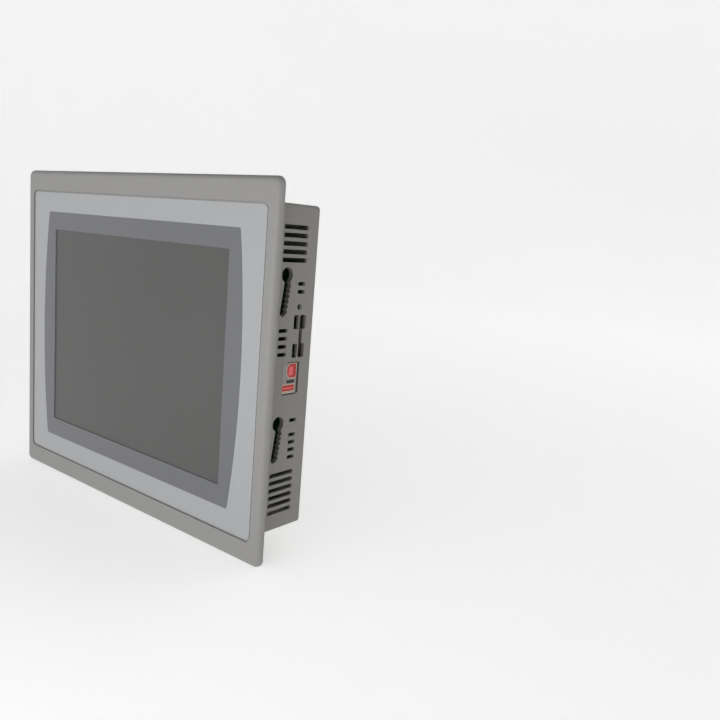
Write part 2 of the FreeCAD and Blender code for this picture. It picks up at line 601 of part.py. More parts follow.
# ---- ports --------------------------------------------------------------------------------------
def port_plate():
    """Zinc-plated sheet behind the ports, with the earth stud's hole."""
    z = (BAY_CEILING + WALL, BAY_CEILING + WALL + 1.2)
    sheet = box((-100.0, 100.0), (36.2, 62.4), z)
    clear = (z[0] - 1.0, z[1] + 1.0)
    cuts = [centred(POLES_X, 18.4, (HEADER_Y[0] - 2.0, HEADER_Y[1] + 0.2), clear)]
    cuts += [centred(x, 16.4, (39.0, 55.1), clear) for x in ETHERNET_X]
    cuts += [centred(x, 13.7, (39.0, 49.0), clear) for x in USB_HOST_X]
    cuts.append(centred(USB_DEVICE_X, 12.4, (39.0, 52.7), clear))
    cuts.append(rod("z", (EARTH_X, EARTH_Y, clear[0]), 4.0, EARTH_R + 0.05))
    return sheet.cut(cuts)


def ethernet_jack(x):
    """Shielded network jack, open downwards, latch side towards the back."""
    body = centred(x, 16.0, (BOARD_BACK, 54.9), (PORT_FACE, PORT_FACE + 21.0))
    mouth = centred(x, 11.9, (43.6, 50.6), (PORT_FACE - 1.0, PORT_FACE + 14.0))
    latch = centred(x, 6.2, (50.0, 53.0), (PORT_FACE - 1.0, PORT_FACE + 14.0))
    return body.cut([mouth, latch])


def jack_contacts():
    """Eight sprung contacts in each network jack, along its board side."""
    wires = []
    for x in ETHERNET_X:
        for i in range(8):
            wires.append(centred(x + (i - 3.5) * 1.02, 0.4, (43.6, 44.1), (-70.0, -60.0)))
    return group(wires)


def usb_host_ports():
    """Steel shells of the two host ports."""
    shells = []
    for x in USB_HOST_X:
        shell = centred(x, 13.2, (BOARD_BACK + 1.0, BOARD_BACK + 6.9), (PORT_FACE, PORT_FACE + 14.0))
        hollow = centred(x, 12.5, (BOARD_BACK + 1.35, BOARD_BACK + 6.55),
                         (PORT_FACE - 1.0, PORT_FACE + 13.0))
        legs = [centred(x + s * 6.4, 0.4, (BOARD_BACK, BOARD_BACK + 1.2), (PORT_FACE + 4, PORT_FACE + 8))
                for s in (-1, 1)]
        shells.append(fused([shell.cut(hollow)] + legs))
    return group(shells)


def usb_host_inserts():
    """Contact tongues inside the host ports."""
    return group([centred(x, 11.1, (BOARD_BACK + 4.3, BOARD_BACK + 6.14), (PORT_FACE + 2.0, PORT_FACE + 13.0))
                  for x in USB_HOST_X])


def usb_device_port():
    """Steel shell of the square device port."""
    y = (BOARD_BACK, BOARD_BACK + 10.9)
    shell = centred(USB_DEVICE_X, 12.0, y, (PORT_FACE, PORT_FACE + 16.0))
    hollow = centred(USB_DEVICE_X, 8.5, (y[0] + 1.5, y[0] + 9.3), (PORT_FACE - 1.0, PORT_FACE + 14.0))
    corners = [e for e in along(hollow, "z") if e.BoundBox.YMax > y[0] + 5]
    return shell.cut(hollow.makeChamfer(1.6, corners))


def usb_device_insert():
    """Contact block inside the device port."""
    return centred(USB_DEVICE_X, 5.6, (BOARD_BACK + 3.8, BOARD_BACK + 7.0),
                   (PORT_FACE + 3.0, PORT_FACE + 14.0))


def earth_stud():
    """M4 stud for the protective earth, pointing down, with a thread relief below the nut."""
    top = BAY_CEILING + WALL + 1.2
    flange = rod("z", (EARTH_X, EARTH_Y, top), 1.0, 4.0)
    shank = rod("z", (EARTH_X, EARTH_Y, top - 15.0), 15.2, EARTH_R)
    shank = shank.makeChamfer(0.4, [e for e in shank.Edges if e.BoundBox.ZMax < top - 14.9])
    relief_z = BAY_CEILING + WALL - 0.8 - NUT_T - 0.9
    relief = rod("z", (EARTH_X, EARTH_Y, relief_z), 0.6, EARTH_R + 1.0)
    relief = relief.cut(rod("z", (EARTH_X, EARTH_Y, relief_z - 1.0), 3.0, EARTH_R - 0.35))
    return fused([flange, shank]).cut(relief)


def earth_nut():
    """Hexagon nut on the earth stud."""
    top = BAY_CEILING + WALL
    nut = hexagon(EARTH_X, 0.0, (0.0, NUT_T), 7.0)
    nut.rotate(V(EARTH_X, 0, 0), V(1, 0, 0), 90)
    nut.translate(V(0, EARTH_Y, top - 0.8 - NUT_T))
    return nut.cut(rod("z", (EARTH_X, EARTH_Y, top - 6.0), 8.0, EARTH_R + 0.03))


def earth_washer():
    """Plain washer between the nut and the port plate."""
    top = BAY_CEILING + WALL
    disc = rod("z", (EARTH_X, EARTH_Y, top - 0.8), 0.8, 4.5)
    return disc.cut(rod("z", (EARTH_X, EARTH_Y, top - 2.0), 4.0, EARTH_R + 0.15))


# ---- power connector ----------------------------------------------------------------------------
def power_header():
    """Fixed half of the power connector on the board."""
    body = centred(POLES_X, 18.0, HEADER_Y, (HEADER_MOUTH, -60.6))
    cavity = centred(POLES_X, 16.4, (42.6, 51.2), (HEADER_MOUTH - 1.0, -64.6))
    pins = [centred(x, 1.04, (46.38, 47.42), (-66.0, -60.0)) for x in POLES]
    return body.cut([cavity] + pins)


def header_pins():
    """Square pins of the power header, bent down to the board."""
    pins = []
    for x in POLES:
        upright = centred(x, 1.0, (46.4, 47.4), (-71.0, -59.4))
        foot = centred(x, 1.0, (BOARD_BACK, 47.4), (-60.4, -59.4))
        pins.append(fused([upright, foot]))
    return group(pins)


def power_plug():
    """Removable half of the power connector, with a chamber for each clamp."""
    body = centred(POLES_X, PLUG_W, PLUG_Y, PLUG_Z)
    body = body.makeChamfer(0.6, [e for e in body.Edges if e.BoundBox.ZMax < PLUG_Z[0] + 0.01])
    nose = centred(POLES_X, PLUG_W, (42.9, 50.9), (PLUG_Z[1] - 1.0, -65.0))
    cuts = []
    for x in POLES:
        cuts.append(centred(x, 4.3, (42.9, 50.1), (-82.9, -75.5)))
        cuts.append(centred(x, 3.2, (45.9, 48.9), (-85.0, -82.0)))
        cuts.append(rod("y", (x, 50.0, SCREW_Z), 2.0, 1.3))
        cuts.append(rod("y", (x, 51.0, SCREW_Z), 3.0, 1.95))
        cuts.append(centred(x, 3.0, (45.2, 48.2), (-76.0, -64.0)))
    return body.fuse(nose).cut(cuts).removeSplitter()


def terminal_contacts():
    """Contact strips in the plug, one for each pole, with a leaf that meets the pin."""
    strips = []
    for x in POLES:
        strip = centred(x, 2.2, (45.3, 45.9), (-82.5, -65.4))
        leaf = centred(x, 1.6, (45.8, 46.3), (-70.6, -67.0))
        strips.append(fused([strip, leaf]))
    return group(strips)


def terminal_screw(x):
    """Captive slotted screw that turns in the plug and drives the clamp cage."""
    head = rod("y", (x, 51.05, SCREW_Z), 1.5, 1.8)
    shank = rod("y", (x, 46.2, SCREW_Z), 5.0, 1.22)
    slot = centred(x, 0.6, (51.8, 53.0), (SCREW_Z - 2.0, SCREW_Z + 2.0))
    return head.fuse(shank).cut(slot).removeSplitter()


def terminal_cage(x):
    """Clamp cage threaded on the screw; it rises and pinches the wire against the contact strip."""
    cage = centred(x, 4.0, (44.5, 49.9), (SCREW_Z - 2.1, SCREW_Z + 2.1))
    throat = centred(x, 2.6, (45.2, 48.9), (SCREW_Z - 3.0, SCREW_Z + 3.0))
    return cage.cut([throat, rod("y", (x, 48.0, SCREW_Z), 3.0, 1.27)])


# ---- labels -------------------------------------------------------------------------------------
def side_label():
    """Adhesive label beside the card slot."""
    label = box((HOUSING_X, HOUSING_X + LABEL_T), SIDE_LABEL_Y, SIDE_LABEL_Z)
    return label.makeFillet(0.8, along(label, "x"))


def rating_label():
    """Adhesive label let into the rear cover."""
    x = (RECESS_X[0] + RECESS_GAP, RECESS_X[1] - RECESS_GAP)
    z = (RECESS_Z[0] + RECESS_GAP, RECESS_Z[1] - RECESS_GAP)
    return box(x, (REAR - RECESS_DEEP, REAR - RECESS_DEEP + LABEL_T), z)


PARTS = {
    "bezel_frame": bezel_frame, "front_overlay": front_overlay, "window_mask": window_mask,
    "overlay_adhesive": overlay_adhesive, "touch_panel": touch_panel,
    "display_seal": display_seal, "panel_gasket": panel_gasket, "lcd_frame": lcd_frame,
    "lcd_glass": lcd_glass, "light_guide": light_guide, "backlight_tray": backlight_tray,
    "led_bar": led_bar, "lcd_screws": lcd_screws, "housing_shell": housing_shell,
    "housing_screws": housing_screws, "rear_cover": rear_cover, "cover_screws": cover_screws,
    "battery_door": battery_door, "carrier_plate": carrier_plate, "plate_screws": plate_screws,
    "board_standoffs": board_standoffs, "board_screws": board_screws, "main_board": main_board,
    "processor": processor, "thermal_pad": thermal_pad, "heat_sink": heat_sink,
    "memory_chips": memory_chips, "capacitors": capacitors, "power_inductors": power_inductors,
    "board_connectors": board_connectors, "touch_cable": touch_cable, "lcd_cable": lcd_cable,
    "battery_holder": battery_holder, "coin_cell": coin_cell, "card_socket": card_socket,
    "reset_switch": reset_switch, "reset_button": reset_button, "port_plate": port_plate,
    "jack_contacts": jack_contacts, "usb_host_ports": usb_host_ports,
    "usb_host_inserts": usb_host_inserts, "usb_device_port": usb_device_port,
    "usb_device_insert": usb_device_insert, "earth_stud": earth_stud, "earth_nut": earth_nut,
    "earth_washer": earth_washer, "power_header": power_header, "header_pins": header_pins,
    "power_plug": power_plug, "terminal_contacts": terminal_contacts,
    "side_label": side_label, "rating_label": rating_label,
}

os.makedirs("parts", exist_ok=True)
shapes = {name: make() for name, make in PARTS.items()}
for number, x in enumerate(ETHERNET_X, start=1):
    shapes[f"ethernet_jack_{number}"] = ethernet_jack(x)
for number, x in enumerate(POLES, start=1):
    shapes[f"terminal_screw_{number}"] = terminal_screw(x)
    shapes[f"terminal_cage_{number}"] = terminal_cage(x)
for name, shape in shapes.items():
    shape.exportStep(f"parts/{name}.step")
print(len(shapes), "sub-parts written")
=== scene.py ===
import bmesh
import bpy
import random
from math import cos, pi, radians, sin
from mathutils import Euler, Matrix, Vector


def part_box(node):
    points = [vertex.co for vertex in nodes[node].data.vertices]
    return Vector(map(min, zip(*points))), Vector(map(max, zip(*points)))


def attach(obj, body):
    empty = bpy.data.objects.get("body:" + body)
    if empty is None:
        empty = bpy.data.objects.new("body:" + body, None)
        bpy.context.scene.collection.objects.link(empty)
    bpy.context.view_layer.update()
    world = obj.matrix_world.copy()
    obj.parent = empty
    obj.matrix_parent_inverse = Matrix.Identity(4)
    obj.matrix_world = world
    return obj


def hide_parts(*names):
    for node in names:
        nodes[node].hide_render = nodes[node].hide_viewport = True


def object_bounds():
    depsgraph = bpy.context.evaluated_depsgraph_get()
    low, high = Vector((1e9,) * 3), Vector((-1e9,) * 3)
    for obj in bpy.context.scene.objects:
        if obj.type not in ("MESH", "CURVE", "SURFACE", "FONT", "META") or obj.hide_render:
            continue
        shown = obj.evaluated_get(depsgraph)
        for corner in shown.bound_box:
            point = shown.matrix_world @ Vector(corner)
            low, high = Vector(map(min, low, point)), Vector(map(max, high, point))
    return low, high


# Touch-panel terminal for a cabinet door, in metres: X to the operator's right, Y into the cabinet,
# Z up. The origin is the middle of the panel cut-out.
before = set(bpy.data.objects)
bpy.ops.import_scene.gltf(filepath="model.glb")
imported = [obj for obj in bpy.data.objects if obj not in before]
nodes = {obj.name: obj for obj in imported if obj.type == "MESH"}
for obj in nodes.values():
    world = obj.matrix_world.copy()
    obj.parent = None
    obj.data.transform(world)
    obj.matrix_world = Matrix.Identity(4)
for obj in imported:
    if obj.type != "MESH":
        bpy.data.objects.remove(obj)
cad_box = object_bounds()


# ---- Front frame --------------------------------------------------------------------------------
# The frame is one moulding in warm grey PC/ABS, shot in a spark-eroded tool, so it is matt all over
# and its front edge is rounded. It carries the films in a shallow pocket, and the housing behind.
MM = 0.001


def linear(colour):
    """Turns an sRGB hex colour such as "#a0b0c0" into linear RGBA."""
    levels = [int(colour[i:i + 2], 16) / 255 for i in (1, 3, 5)]
    return [v / 12.92 if v < 0.04045 else ((v + 0.055) / 1.055) ** 2.4 for v in levels] + [1.0]


def finish(name, **settings):
    """Starts a material: returns it and its shader, with the shader's own sockets set."""
    material = bpy.data.materials.new(name)
    material.use_nodes = True
    shader = material.node_tree.nodes["Principled BSDF"]
    for key, value in settings.items():
        shader.inputs[key.replace("_", " ")].default_value = value
    return material, shader


def add(material, kind, settings, links=()):
    """Adds a node, sets its inputs or properties, and feeds its linked inputs."""
    made = material.node_tree.nodes.new(kind)
    for key, value in settings.items():
        if isinstance(key, int) or key in made.inputs:
            made.inputs[key].default_value = value
        else:
            setattr(made, key, value)
    for key, source in dict(links).items():
        material.node_tree.links.new(source, made.inputs[key])
    return made


def feed(material, shader, **sources):
    """Links sockets into the shader's inputs."""
    for key, source in sources.items():
        material.node_tree.links.new(source, shader.inputs[key.replace("_", " ")])


def place_in(material, stretch=(1.0, 1.0, 1.0)):
    """Place on the object in metres, squeezed on an axis for a pattern that runs along it."""
    where = add(material, "ShaderNodeTexCoord", {})
    return add(material, "ShaderNodeMapping", {"Scale": stretch},
               {"Vector": where.outputs["Object"]}).outputs["Vector"]


def shade(material, low, high, source, limits=(0.3, 0.7)):
    """Colour that runs from low to high as the source runs between its limits."""
    ramp = add(material, "ShaderNodeValToRGB", {}, {"Fac": source})
    for stop, position, colour in zip(ramp.color_ramp.elements, limits, (low, high)):
        stop.position, stop.color = position, linear(colour)
    return ramp.outputs["Color"]


def grainy(name, low, high, grain_mm, depth_mm, gloss, stretch=(1.0, 1.0, 1.0), **settings):
    """Surface whose colour, gloss and height all follow one fine grain."""
    material, shader = finish(name, **settings)
    grain = add(material, "ShaderNodeTexNoise",
                {"Scale": 1 / (grain_mm * MM), "Detail": 3.0, "Roughness": 0.6},
                {"Vector": place_in(material, stretch)}).outputs["Fac"]
    rough = add(material, "ShaderNodeMapRange", {"From Min": 0.3, "From Max": 0.7,
                                                 "To Min": gloss[0], "To Max": gloss[1]},
                {"Value": grain})
    bump = add(material, "ShaderNodeBump", {"Strength": 0.6, "Distance": depth_mm * MM},
               {"Height": grain})
    feed(material, shader, Base_Color=shade(material, low, high, grain),
         Roughness=rough.outputs["Result"], Normal=bump.outputs["Normal"])
    return material


def dress(material, *names):
    """Gives CAD parts a material in place of the one they came with."""
    for name in names:
        nodes[name].data.materials.clear()
        nodes[name].data.materials.append(material)


# Warm grey PC/ABS with a spark-eroded skin: matt, its pebble showing only where light grazes it.
# The real pebble is about 0.2 mm across; it is drawn at 1.1 mm so that it shows at all.
bezel_abs = grainy("moulded_abs_bezel_grey", "#807f7e", "#868584", grain_mm=1.1, depth_mm=0.05,
                   gloss=(0.5, 0.6), IOR=1.53)
dress(bezel_abs, "bezel_frame")


# ---- Panel gasket -------------------------------------------------------------------------------
# A ring of closed-cell neoprene foam, die-cut and pressed into the groove on the flange's back. It
# stands proud of the flange until the clamping levers squeeze it against the cabinet door.
def foam(name, low, high, cell_mm):
    """Closed-cell foam: a skin of small dimples, dull and nearly black between them."""
    material, shader = finish(name, Roughness=0.88)
    cells = add(material, "ShaderNodeTexVoronoi", {"Scale": 1 / (cell_mm * MM)},
                {"Vector": place_in(material)}).outputs["Distance"]
    bump = add(material, "ShaderNodeBump", {"Strength": 0.8, "Distance": 0.15 * MM},
               {"Height": cells})
    feed(material, shader, Base_Color=shade(material, low, high, cells, (0.1, 0.6)),
         Normal=bump.outputs["Normal"])
    return material


# Neoprene foam: charcoal, with cells of about 0.6 mm drawn at 0.9 mm so that they show.
neoprene = foam("closed_cell_neoprene", "#1f2021", "#3a3b3c", cell_mm=0.9)
dress(neoprene, "panel_gasket")


# ---- Front films --------------------------------------------------------------------------------
# Polyester film, printed from behind and stuck in the frame's pocket: silver grey outside, and a
# slate border round the window. A ring of thin transfer tape holds it to the touch sensor.

# Velvet-grain polyester over silver ink: a light neutral grey with a soft sheen.
silver_film = grainy("satin_polyester_silver_print", "#949597", "#9a9b9d", grain_mm=0.9,
                     depth_mm=0.02, gloss=(0.38, 0.44), IOR=1.57)
dress(silver_film, "front_overlay")

# The same film over slate ink: bluish mid grey, a little glossier than the silver.
slate_film = grainy("satin_polyester_slate_print", "#5a5b5e", "#5f6064", grain_mm=0.9,
                    depth_mm=0.02, gloss=(0.32, 0.38), IOR=1.57)
dress(slate_film, "window_mask")

# Acrylic transfer adhesive on a grey carrier: seen only as the film's edge round the window.
adhesive = grainy("grey_acrylic_transfer_tape", "#77797c", "#808285", grain_mm=2.0, depth_mm=0.02,
                  gloss=(0.3, 0.4), IOR=1.47)
dress(adhesive, "overlay_adhesive")


# ---- Touch sensor -------------------------------------------------------------------------------
# Glass with a resistive film on it, hard-coated against glare. The display behind it is off, so the
# window looks an even dark grey. A flat printed tail takes its four wires down to the board.

# Anti-glare hard coat over a dark display: neutral grey haze, with faint smears in its gloss.
HAZE_MM, SMEAR_MM = 0.8, 45.0
touch_coat, touch_shader = finish("antiglare_hard_coat_over_dark_display", IOR=1.5)
touch_place = place_in(touch_coat)
touch_haze = add(touch_coat, "ShaderNodeTexNoise", {"Scale": 1 / (HAZE_MM * MM), "Detail": 3.0},
                 {"Vector": touch_place})
touch_smear = add(touch_coat, "ShaderNodeTexNoise",
                  {"Scale": 1 / (SMEAR_MM * MM), "Detail": 3.0, "Distortion": 0.8},
                  {"Vector": touch_place})
touch_rough = add(touch_coat, "ShaderNodeMapRange", {"To Min": 0.28, "To Max": 0.4},
                  {"Value": touch_smear.outputs["Fac"]})
feed(touch_coat, touch_shader, Roughness=touch_rough.outputs["Result"],
     Base_Color=shade(touch_coat, "#434342", "#494948", touch_haze.outputs["Fac"]))
dress(touch_coat, "touch_panel")

# A wave texture repeats this many times in one unit at a scale of 1.
WAVES_PER_UNIT = 20 / (2 * pi)


def striped(name, low, high, pitch_mm, bands, **settings):
    """Flat cable: parallel conductors that show through the film as even stripes along it."""
    material, shader = finish(name, **settings)
    wave = add(material, "ShaderNodeTexWave",
               {"Scale": 1 / (pitch_mm * MM) / WAVES_PER_UNIT, "bands_direction": bands},
               {"Vector": place_in(material)})
    feed(material, shader, Base_Color=shade(material, low, high, wave.outputs["Fac"], (0.45, 0.55)))
    return material


# Polyester tail with silver ink tracks: clear amber film with pale stripes 2.5 mm apart.
tail_film = striped("polyester_tail_silver_tracks", "#a9752c", "#c9c7bd", pitch_mm=2.5, bands="X",
                    Roughness=0.3, IOR=1.57)
dress(tail_film, "touch_cable")


# ---- Display ------------------------------------------------------------------------------------
# A liquid-crystal module: a pressed steel frame holds the glass cell, an acrylic light guide with a
# strip of LEDs along its lower edge, and a white tray. Four small screws hold it by its ears.
def metal(name, low, high, line_mm, stretch, gloss, depth_mm=0.01):
    """Bare or plated metal, with the fine lines that rolling, drawing or turning leaves."""
    return grainy(name, low, high, line_mm, depth_mm, gloss, stretch, Metallic=1.0)


# Tin-plated sheet steel: bright, a little milky, with rolling lines along its width.
tinned_sheet = metal("tin_plated_sheet_steel", "#a9abac", "#c3c5c6", line_mm=1.2,
                     stretch=(0.05, 1.0, 1.0), gloss=(0.25, 0.4))
dress(tinned_sheet, "lcd_frame")

# The same foam as the gasket's, in a thin ring that keeps dust off the glass.
dress(neoprene, "display_seal")

# Polarised glass of a display that is off: near black with a cool cast, and glossy.
cell_glass = grainy("polarised_display_glass", "#101216", "#16181d", grain_mm=3.0, depth_mm=0.002,
                    gloss=(0.08, 0.14), IOR=1.52, Coat_Weight=0.6, Coat_Roughness=0.05)
dress(cell_glass, "lcd_glass")

# Clear acrylic, with a printed pattern of dots that scatters the light out of its face.
DOT_PITCH_MM = 1.5
acrylic, acrylic_shader = finish("dotted_clear_acrylic", Transmission_Weight=0.85, IOR=1.49,
                                 Base_Color=linear("#eef3f3"))
dots = add(acrylic, "ShaderNodeTexVoronoi", {"Scale": 1 / (DOT_PITCH_MM * MM), "Randomness": 0.0},
           {"Vector": place_in(acrylic)}).outputs["Distance"]
dot_rough = add(acrylic, "ShaderNodeMapRange", {"From Min": 0.25, "From Max": 0.35,
                                                "To Min": 0.7, "To Max": 0.06}, {"Value": dots})
feed(acrylic, acrylic_shader, Roughness=dot_rough.outputs["Result"])
dress(acrylic, "light_guide")

# White polycarbonate that reflects the backlight: plain, with a faint moulded skin.
white_tray = grainy("moulded_white_polycarbonate", "#dcdcd8", "#e8e8e5", grain_mm=1.5,
                    depth_mm=0.02, gloss=(0.35, 0.45))
dress(white_tray, "backlight_tray")

# LEDs on a white strip: the strip is solder-masked white, and the packages show yellow phosphor.
STRIP_H = 1.05 * MM
led_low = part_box("led_bar")[0]
led_strip, led_shader = finish("white_led_strip", Roughness=0.35)
led_split = add(led_strip, "ShaderNodeSeparateXYZ", {}, {"Vector": place_in(led_strip)})
led_top = add(led_strip, "ShaderNodeMath",
              {"operation": "GREATER_THAN", 1: led_low.z + STRIP_H}, {0: led_split.outputs["Z"]})
feed(led_strip, led_shader,
     Base_Color=shade(led_strip, "#e6e7e6", "#d9c85a", led_top.outputs["Value"]))
dress(led_strip, "led_bar")

# Flat cable to the display: white polyester over tinned conductors at 1.0 mm pitch.
flat_cable = striped("white_flat_cable", "#b4b6b8", "#e4e6e6", pitch_mm=1.0, bands="X",
                     Roughness=0.32, IOR=1.57)
dress(flat_cable, "lcd_cable")

# Zinc-plated steel with a blue passivate, as on small screws: bright and cool, with fine lines.
zinc_screw = metal("zinc_plated_steel_screw", "#aab0b6", "#c3c9ce", line_mm=0.5,
                   stretch=(1.0, 0.2, 1.0), gloss=(0.24, 0.38))
dress(zinc_screw, "lcd_screws", "plate_screws", "board_screws", "housing_screws", "cover_screws")


# ---- Carrier plate ------------------------------------------------------------------------------
# A folded sheet of zinc-plated steel behind the display. Four screws hold it to bosses on the front
# frame, and six plated brass spacers on it carry the main board.

# Zinc-plated sheet: soft grey shine with faint rolling lines and the bloom of the passivate.
zinc_sheet = metal("zinc_plated_sheet_steel", "#969da3", "#b3b9be", line_mm=1.6,
                   stretch=(0.08, 1.0, 1.0), gloss=(0.3, 0.46))
dress(zinc_sheet, "carrier_plate")

# Nickel-plated brass, drawn as a hexagonal bar: warm silver with lines along its length.
nickel_brass = metal("nickel_plated_brass", "#b3ab98", "#cdc6b4", line_mm=0.5,
                     stretch=(1.0, 0.06, 1.0), gloss=(0.2, 0.34))
dress(nickel_brass, "board_standoffs")


# ---- Main board ---------------------------------------------------------------------------------
# A four-layer board of glass epoxy with green solder mask. The processor sits under a finned heat
# sink, with memory beside it and the power supply's capacitors and inductors at the left.

# Solder mask over copper: glossy green, its tracks showing as slightly lighter green ridges.
TRACK_FIELD_MM, TRACK_REPEAT, TRACK_EDGES = 6.0, 0.06, (0.024, 0.036)
board_mask, board_shader = finish("green_solder_mask_over_copper", Roughness=0.28,
                                  Coat_Weight=0.3, Coat_Roughness=0.15)
board_place = place_in(board_mask)
tracks = add(board_mask, "ShaderNodeTexVoronoi",
             {"Scale": 1 / (TRACK_FIELD_MM * MM), "distance": "CHEBYCHEV", "feature": "F2"},
             {"Vector": board_place}).outputs["Distance"]
track_lines = add(board_mask, "ShaderNodeMath", {"operation": "PINGPONG", 1: TRACK_REPEAT},
                  {0: tracks})
track_steps = add(board_mask, "ShaderNodeMapRange",
                  {"From Min": TRACK_EDGES[0], "From Max": TRACK_EDGES[1]},
                  {"Value": track_lines.outputs["Value"]}).outputs["Result"]
board_bump = add(board_mask, "ShaderNodeBump", {"Strength": 0.5, "Distance": 0.05 * MM},
                 {"Height": track_steps})
feed(board_mask, board_shader, Normal=board_bump.outputs["Normal"],
     Base_Color=shade(board_mask, "#123f28", "#1d6238", track_steps, (0.0, 1.0)))
dress(board_mask, "main_board")

# Moulded epoxy chip packages: near black, with the fine grain of their silica filler.
chip_epoxy = grainy("moulded_epoxy_chip_package", "#17171a", "#222226", grain_mm=0.6,
                    depth_mm=0.02, gloss=(0.42, 0.58))
dress(chip_epoxy, "processor", "memory_chips")

# Gap-filling silicone pad: soft blue grey, slightly translucent, with a woven carrier.
gap_pad = grainy("silicone_gap_pad", "#7f93a8", "#93a6b9", grain_mm=0.8, depth_mm=0.04,
                 gloss=(0.55, 0.7), Subsurface_Weight=0.1)
dress(gap_pad, "thermal_pad")

# Black-anodised extruded aluminium: a dark satin with extrusion lines along its fins.
black_anodised = grainy("black_anodised_aluminium", "#1a1b1d", "#2d2f32", grain_mm=0.7,
                        depth_mm=0.02, gloss=(0.34, 0.5), stretch=(1.0, 1.0, 0.04), Metallic=0.7)
dress(black_anodised, "heat_sink")

# Aluminium cans of the capacitors: bright, with the lines of deep drawing up their sides.
drawn_can = metal("drawn_aluminium_can", "#b5b7b9", "#cfd1d3", line_mm=0.5,
                  stretch=(1.0, 0.1, 1.0), gloss=(0.24, 0.34))
dress(drawn_can, "capacitors")

# Pressed iron powder of the inductors: dull charcoal with a sandy grain.
iron_powder = grainy("pressed_iron_powder", "#2b2b2c", "#434344", grain_mm=0.5, depth_mm=0.05,
                     gloss=(0.6, 0.78))
dress(iron_powder, "power_inductors")

# Natural nylon of the flat-cable sockets: off-white and waxy.
white_nylon = grainy("natural_nylon", "#d6d2c4", "#e3dfd2", grain_mm=1.2, depth_mm=0.02,
                     gloss=(0.38, 0.5), Subsurface_Weight=0.08)
dress(white_nylon, "board_connectors")


def new_piece(name, bm, material, body):
    """Turns a bmesh into a piece of the visual model that moves with a body."""
    mesh = bpy.data.meshes.new(name)
    bmesh.ops.recalc_face_normals(bm, faces=bm.faces)
    bm.to_mesh(mesh)
    bm.free()
    mesh.materials.append(material)
    piece = bpy.data.objects.new(name, mesh)
    bpy.context.scene.collection.objects.link(piece)
    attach(piece, body)
    return piece


def block(bm, low, high):
    """Adds a block between two corners and returns its vertices."""
    low, high = Vector(low), Vector(high)
    place = Matrix.Translation((low + high) / 2) @ Matrix.Diagonal((*(high - low), 1.0))
    return bmesh.ops.create_cube(bm, size=1.0, matrix=place)["verts"]


# ---- Small board parts --------------------------------------------------------------------------
# Chip capacitors and resistors, reflow-soldered in loose rows between the large parts on the back
# of the board. Each is a ceramic body with a tinned cap at either end.
board_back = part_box("main_board")[1].y
CHIP_L, CHIP_W, CHIP_T, CAP_L = 2.0 * MM, 1.25 * MM, 0.7 * MM, 0.4 * MM
CHIP_STEP_X, CHIP_STEP_Z, EMPTY_SHARE = 4.2, 3.6, 0.3
# Each field of chips: its lower corner's X and Z in mm, its columns and its rows.
CHIP_FIELDS = ((-50.0, -52.0, 9, 6), (8.0, -50.0, 8, 5), (70.0, -50.0, 9, 5), (94.0, 2.0, 4, 8))
draw = random.Random(7)
bodies, caps = bmesh.new(), bmesh.new()
for field_x, field_z, columns, rows in CHIP_FIELDS:
    for i in range(columns * rows):
        if draw.random() < EMPTY_SHARE:
            continue
        low = Vector(((field_x + i % columns * CHIP_STEP_X) * MM, board_back,
                      (field_z + i // columns * CHIP_STEP_Z) * MM))
        high = low + Vector((CHIP_L, CHIP_T, CHIP_W))
        block(bodies, low + Vector((CAP_L, 0, 0)), high - Vector((CAP_L, 0, 0)))
        for start in (low.x, high.x - CAP_L):
            block(caps, (start, low.y, low.z), (start + CAP_L, high.y, high.z))

# Fired ceramic of chip capacitors: dull tan, with a faint sandy grain.
chip_ceramic = grainy("fired_ceramic_tan", "#8c7556", "#a1896a", grain_mm=0.5, depth_mm=0.01,
                      gloss=(0.5, 0.65))
new_piece("chip_part_bodies", bodies, chip_ceramic, "terminal")

# Tinned ends: soft bright metal that has flowed and set.
solder_tin = metal("reflowed_tin", "#b9bbbc", "#d0d2d3", line_mm=0.6, stretch=(1.0, 1.0, 1.0),
                   gloss=(0.2, 0.35))
new_piece("chip_part_ends", caps, solder_tin, "terminal")


# ---- Backup battery -----------------------------------------------------------------------------
# A round lithium cell in a black holder that is soldered to the board. The cell is pushed in from
# behind, and is reached through the door in the rear cover.

# Glass-filled black plastic that stands soldering heat: dark, with a slight mottle.
black_lcp = grainy("glass_filled_black_plastic", "#161617", "#232324", grain_mm=0.9,
                   depth_mm=0.02, gloss=(0.4, 0.55))
dress(black_lcp, "battery_holder")

# Nickel-plated stainless can of the cell: bright, with a fine turned ring pattern on its face.
RING_PITCH_MM = 0.8
cell_low, cell_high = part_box("coin_cell")
cell_can, cell_shader = finish("nickel_plated_cell_can", Metallic=1.0, Base_Color=linear("#c6c6c2"))
cell_where = add(cell_can, "ShaderNodeTexCoord", {})
cell_place = add(cell_can, "ShaderNodeMapping", {"Location": tuple(-(cell_low + cell_high) / 2)},
                 {"Vector": cell_where.outputs["Object"]})
cell_rings = add(cell_can, "ShaderNodeTexWave",
                 {"wave_type": "RINGS", "rings_direction": "Y",
                  "Scale": 1 / (RING_PITCH_MM * MM) / WAVES_PER_UNIT, "Distortion": 0.4},
                 {"Vector": cell_place.outputs["Vector"]})
cell_rough = add(cell_can, "ShaderNodeMapRange", {"To Min": 0.22, "To Max": 0.36},
                 {"Value": cell_rings.outputs["Fac"]})
feed(cell_can, cell_shader, Roughness=cell_rough.outputs["Result"])
dress(cell_can, "coin_cell")


# ---- Card socket and reset switch ---------------------------------------------------------------
# Both sit on the front of the board at its right edge. The card goes in through the slit in the
# side wall, and the switch's plunger is reached through a pinhole with a thin tool.

# Their bodies are of the same black plastic as the battery holder.
dress(black_lcp, "card_socket", "reset_switch")

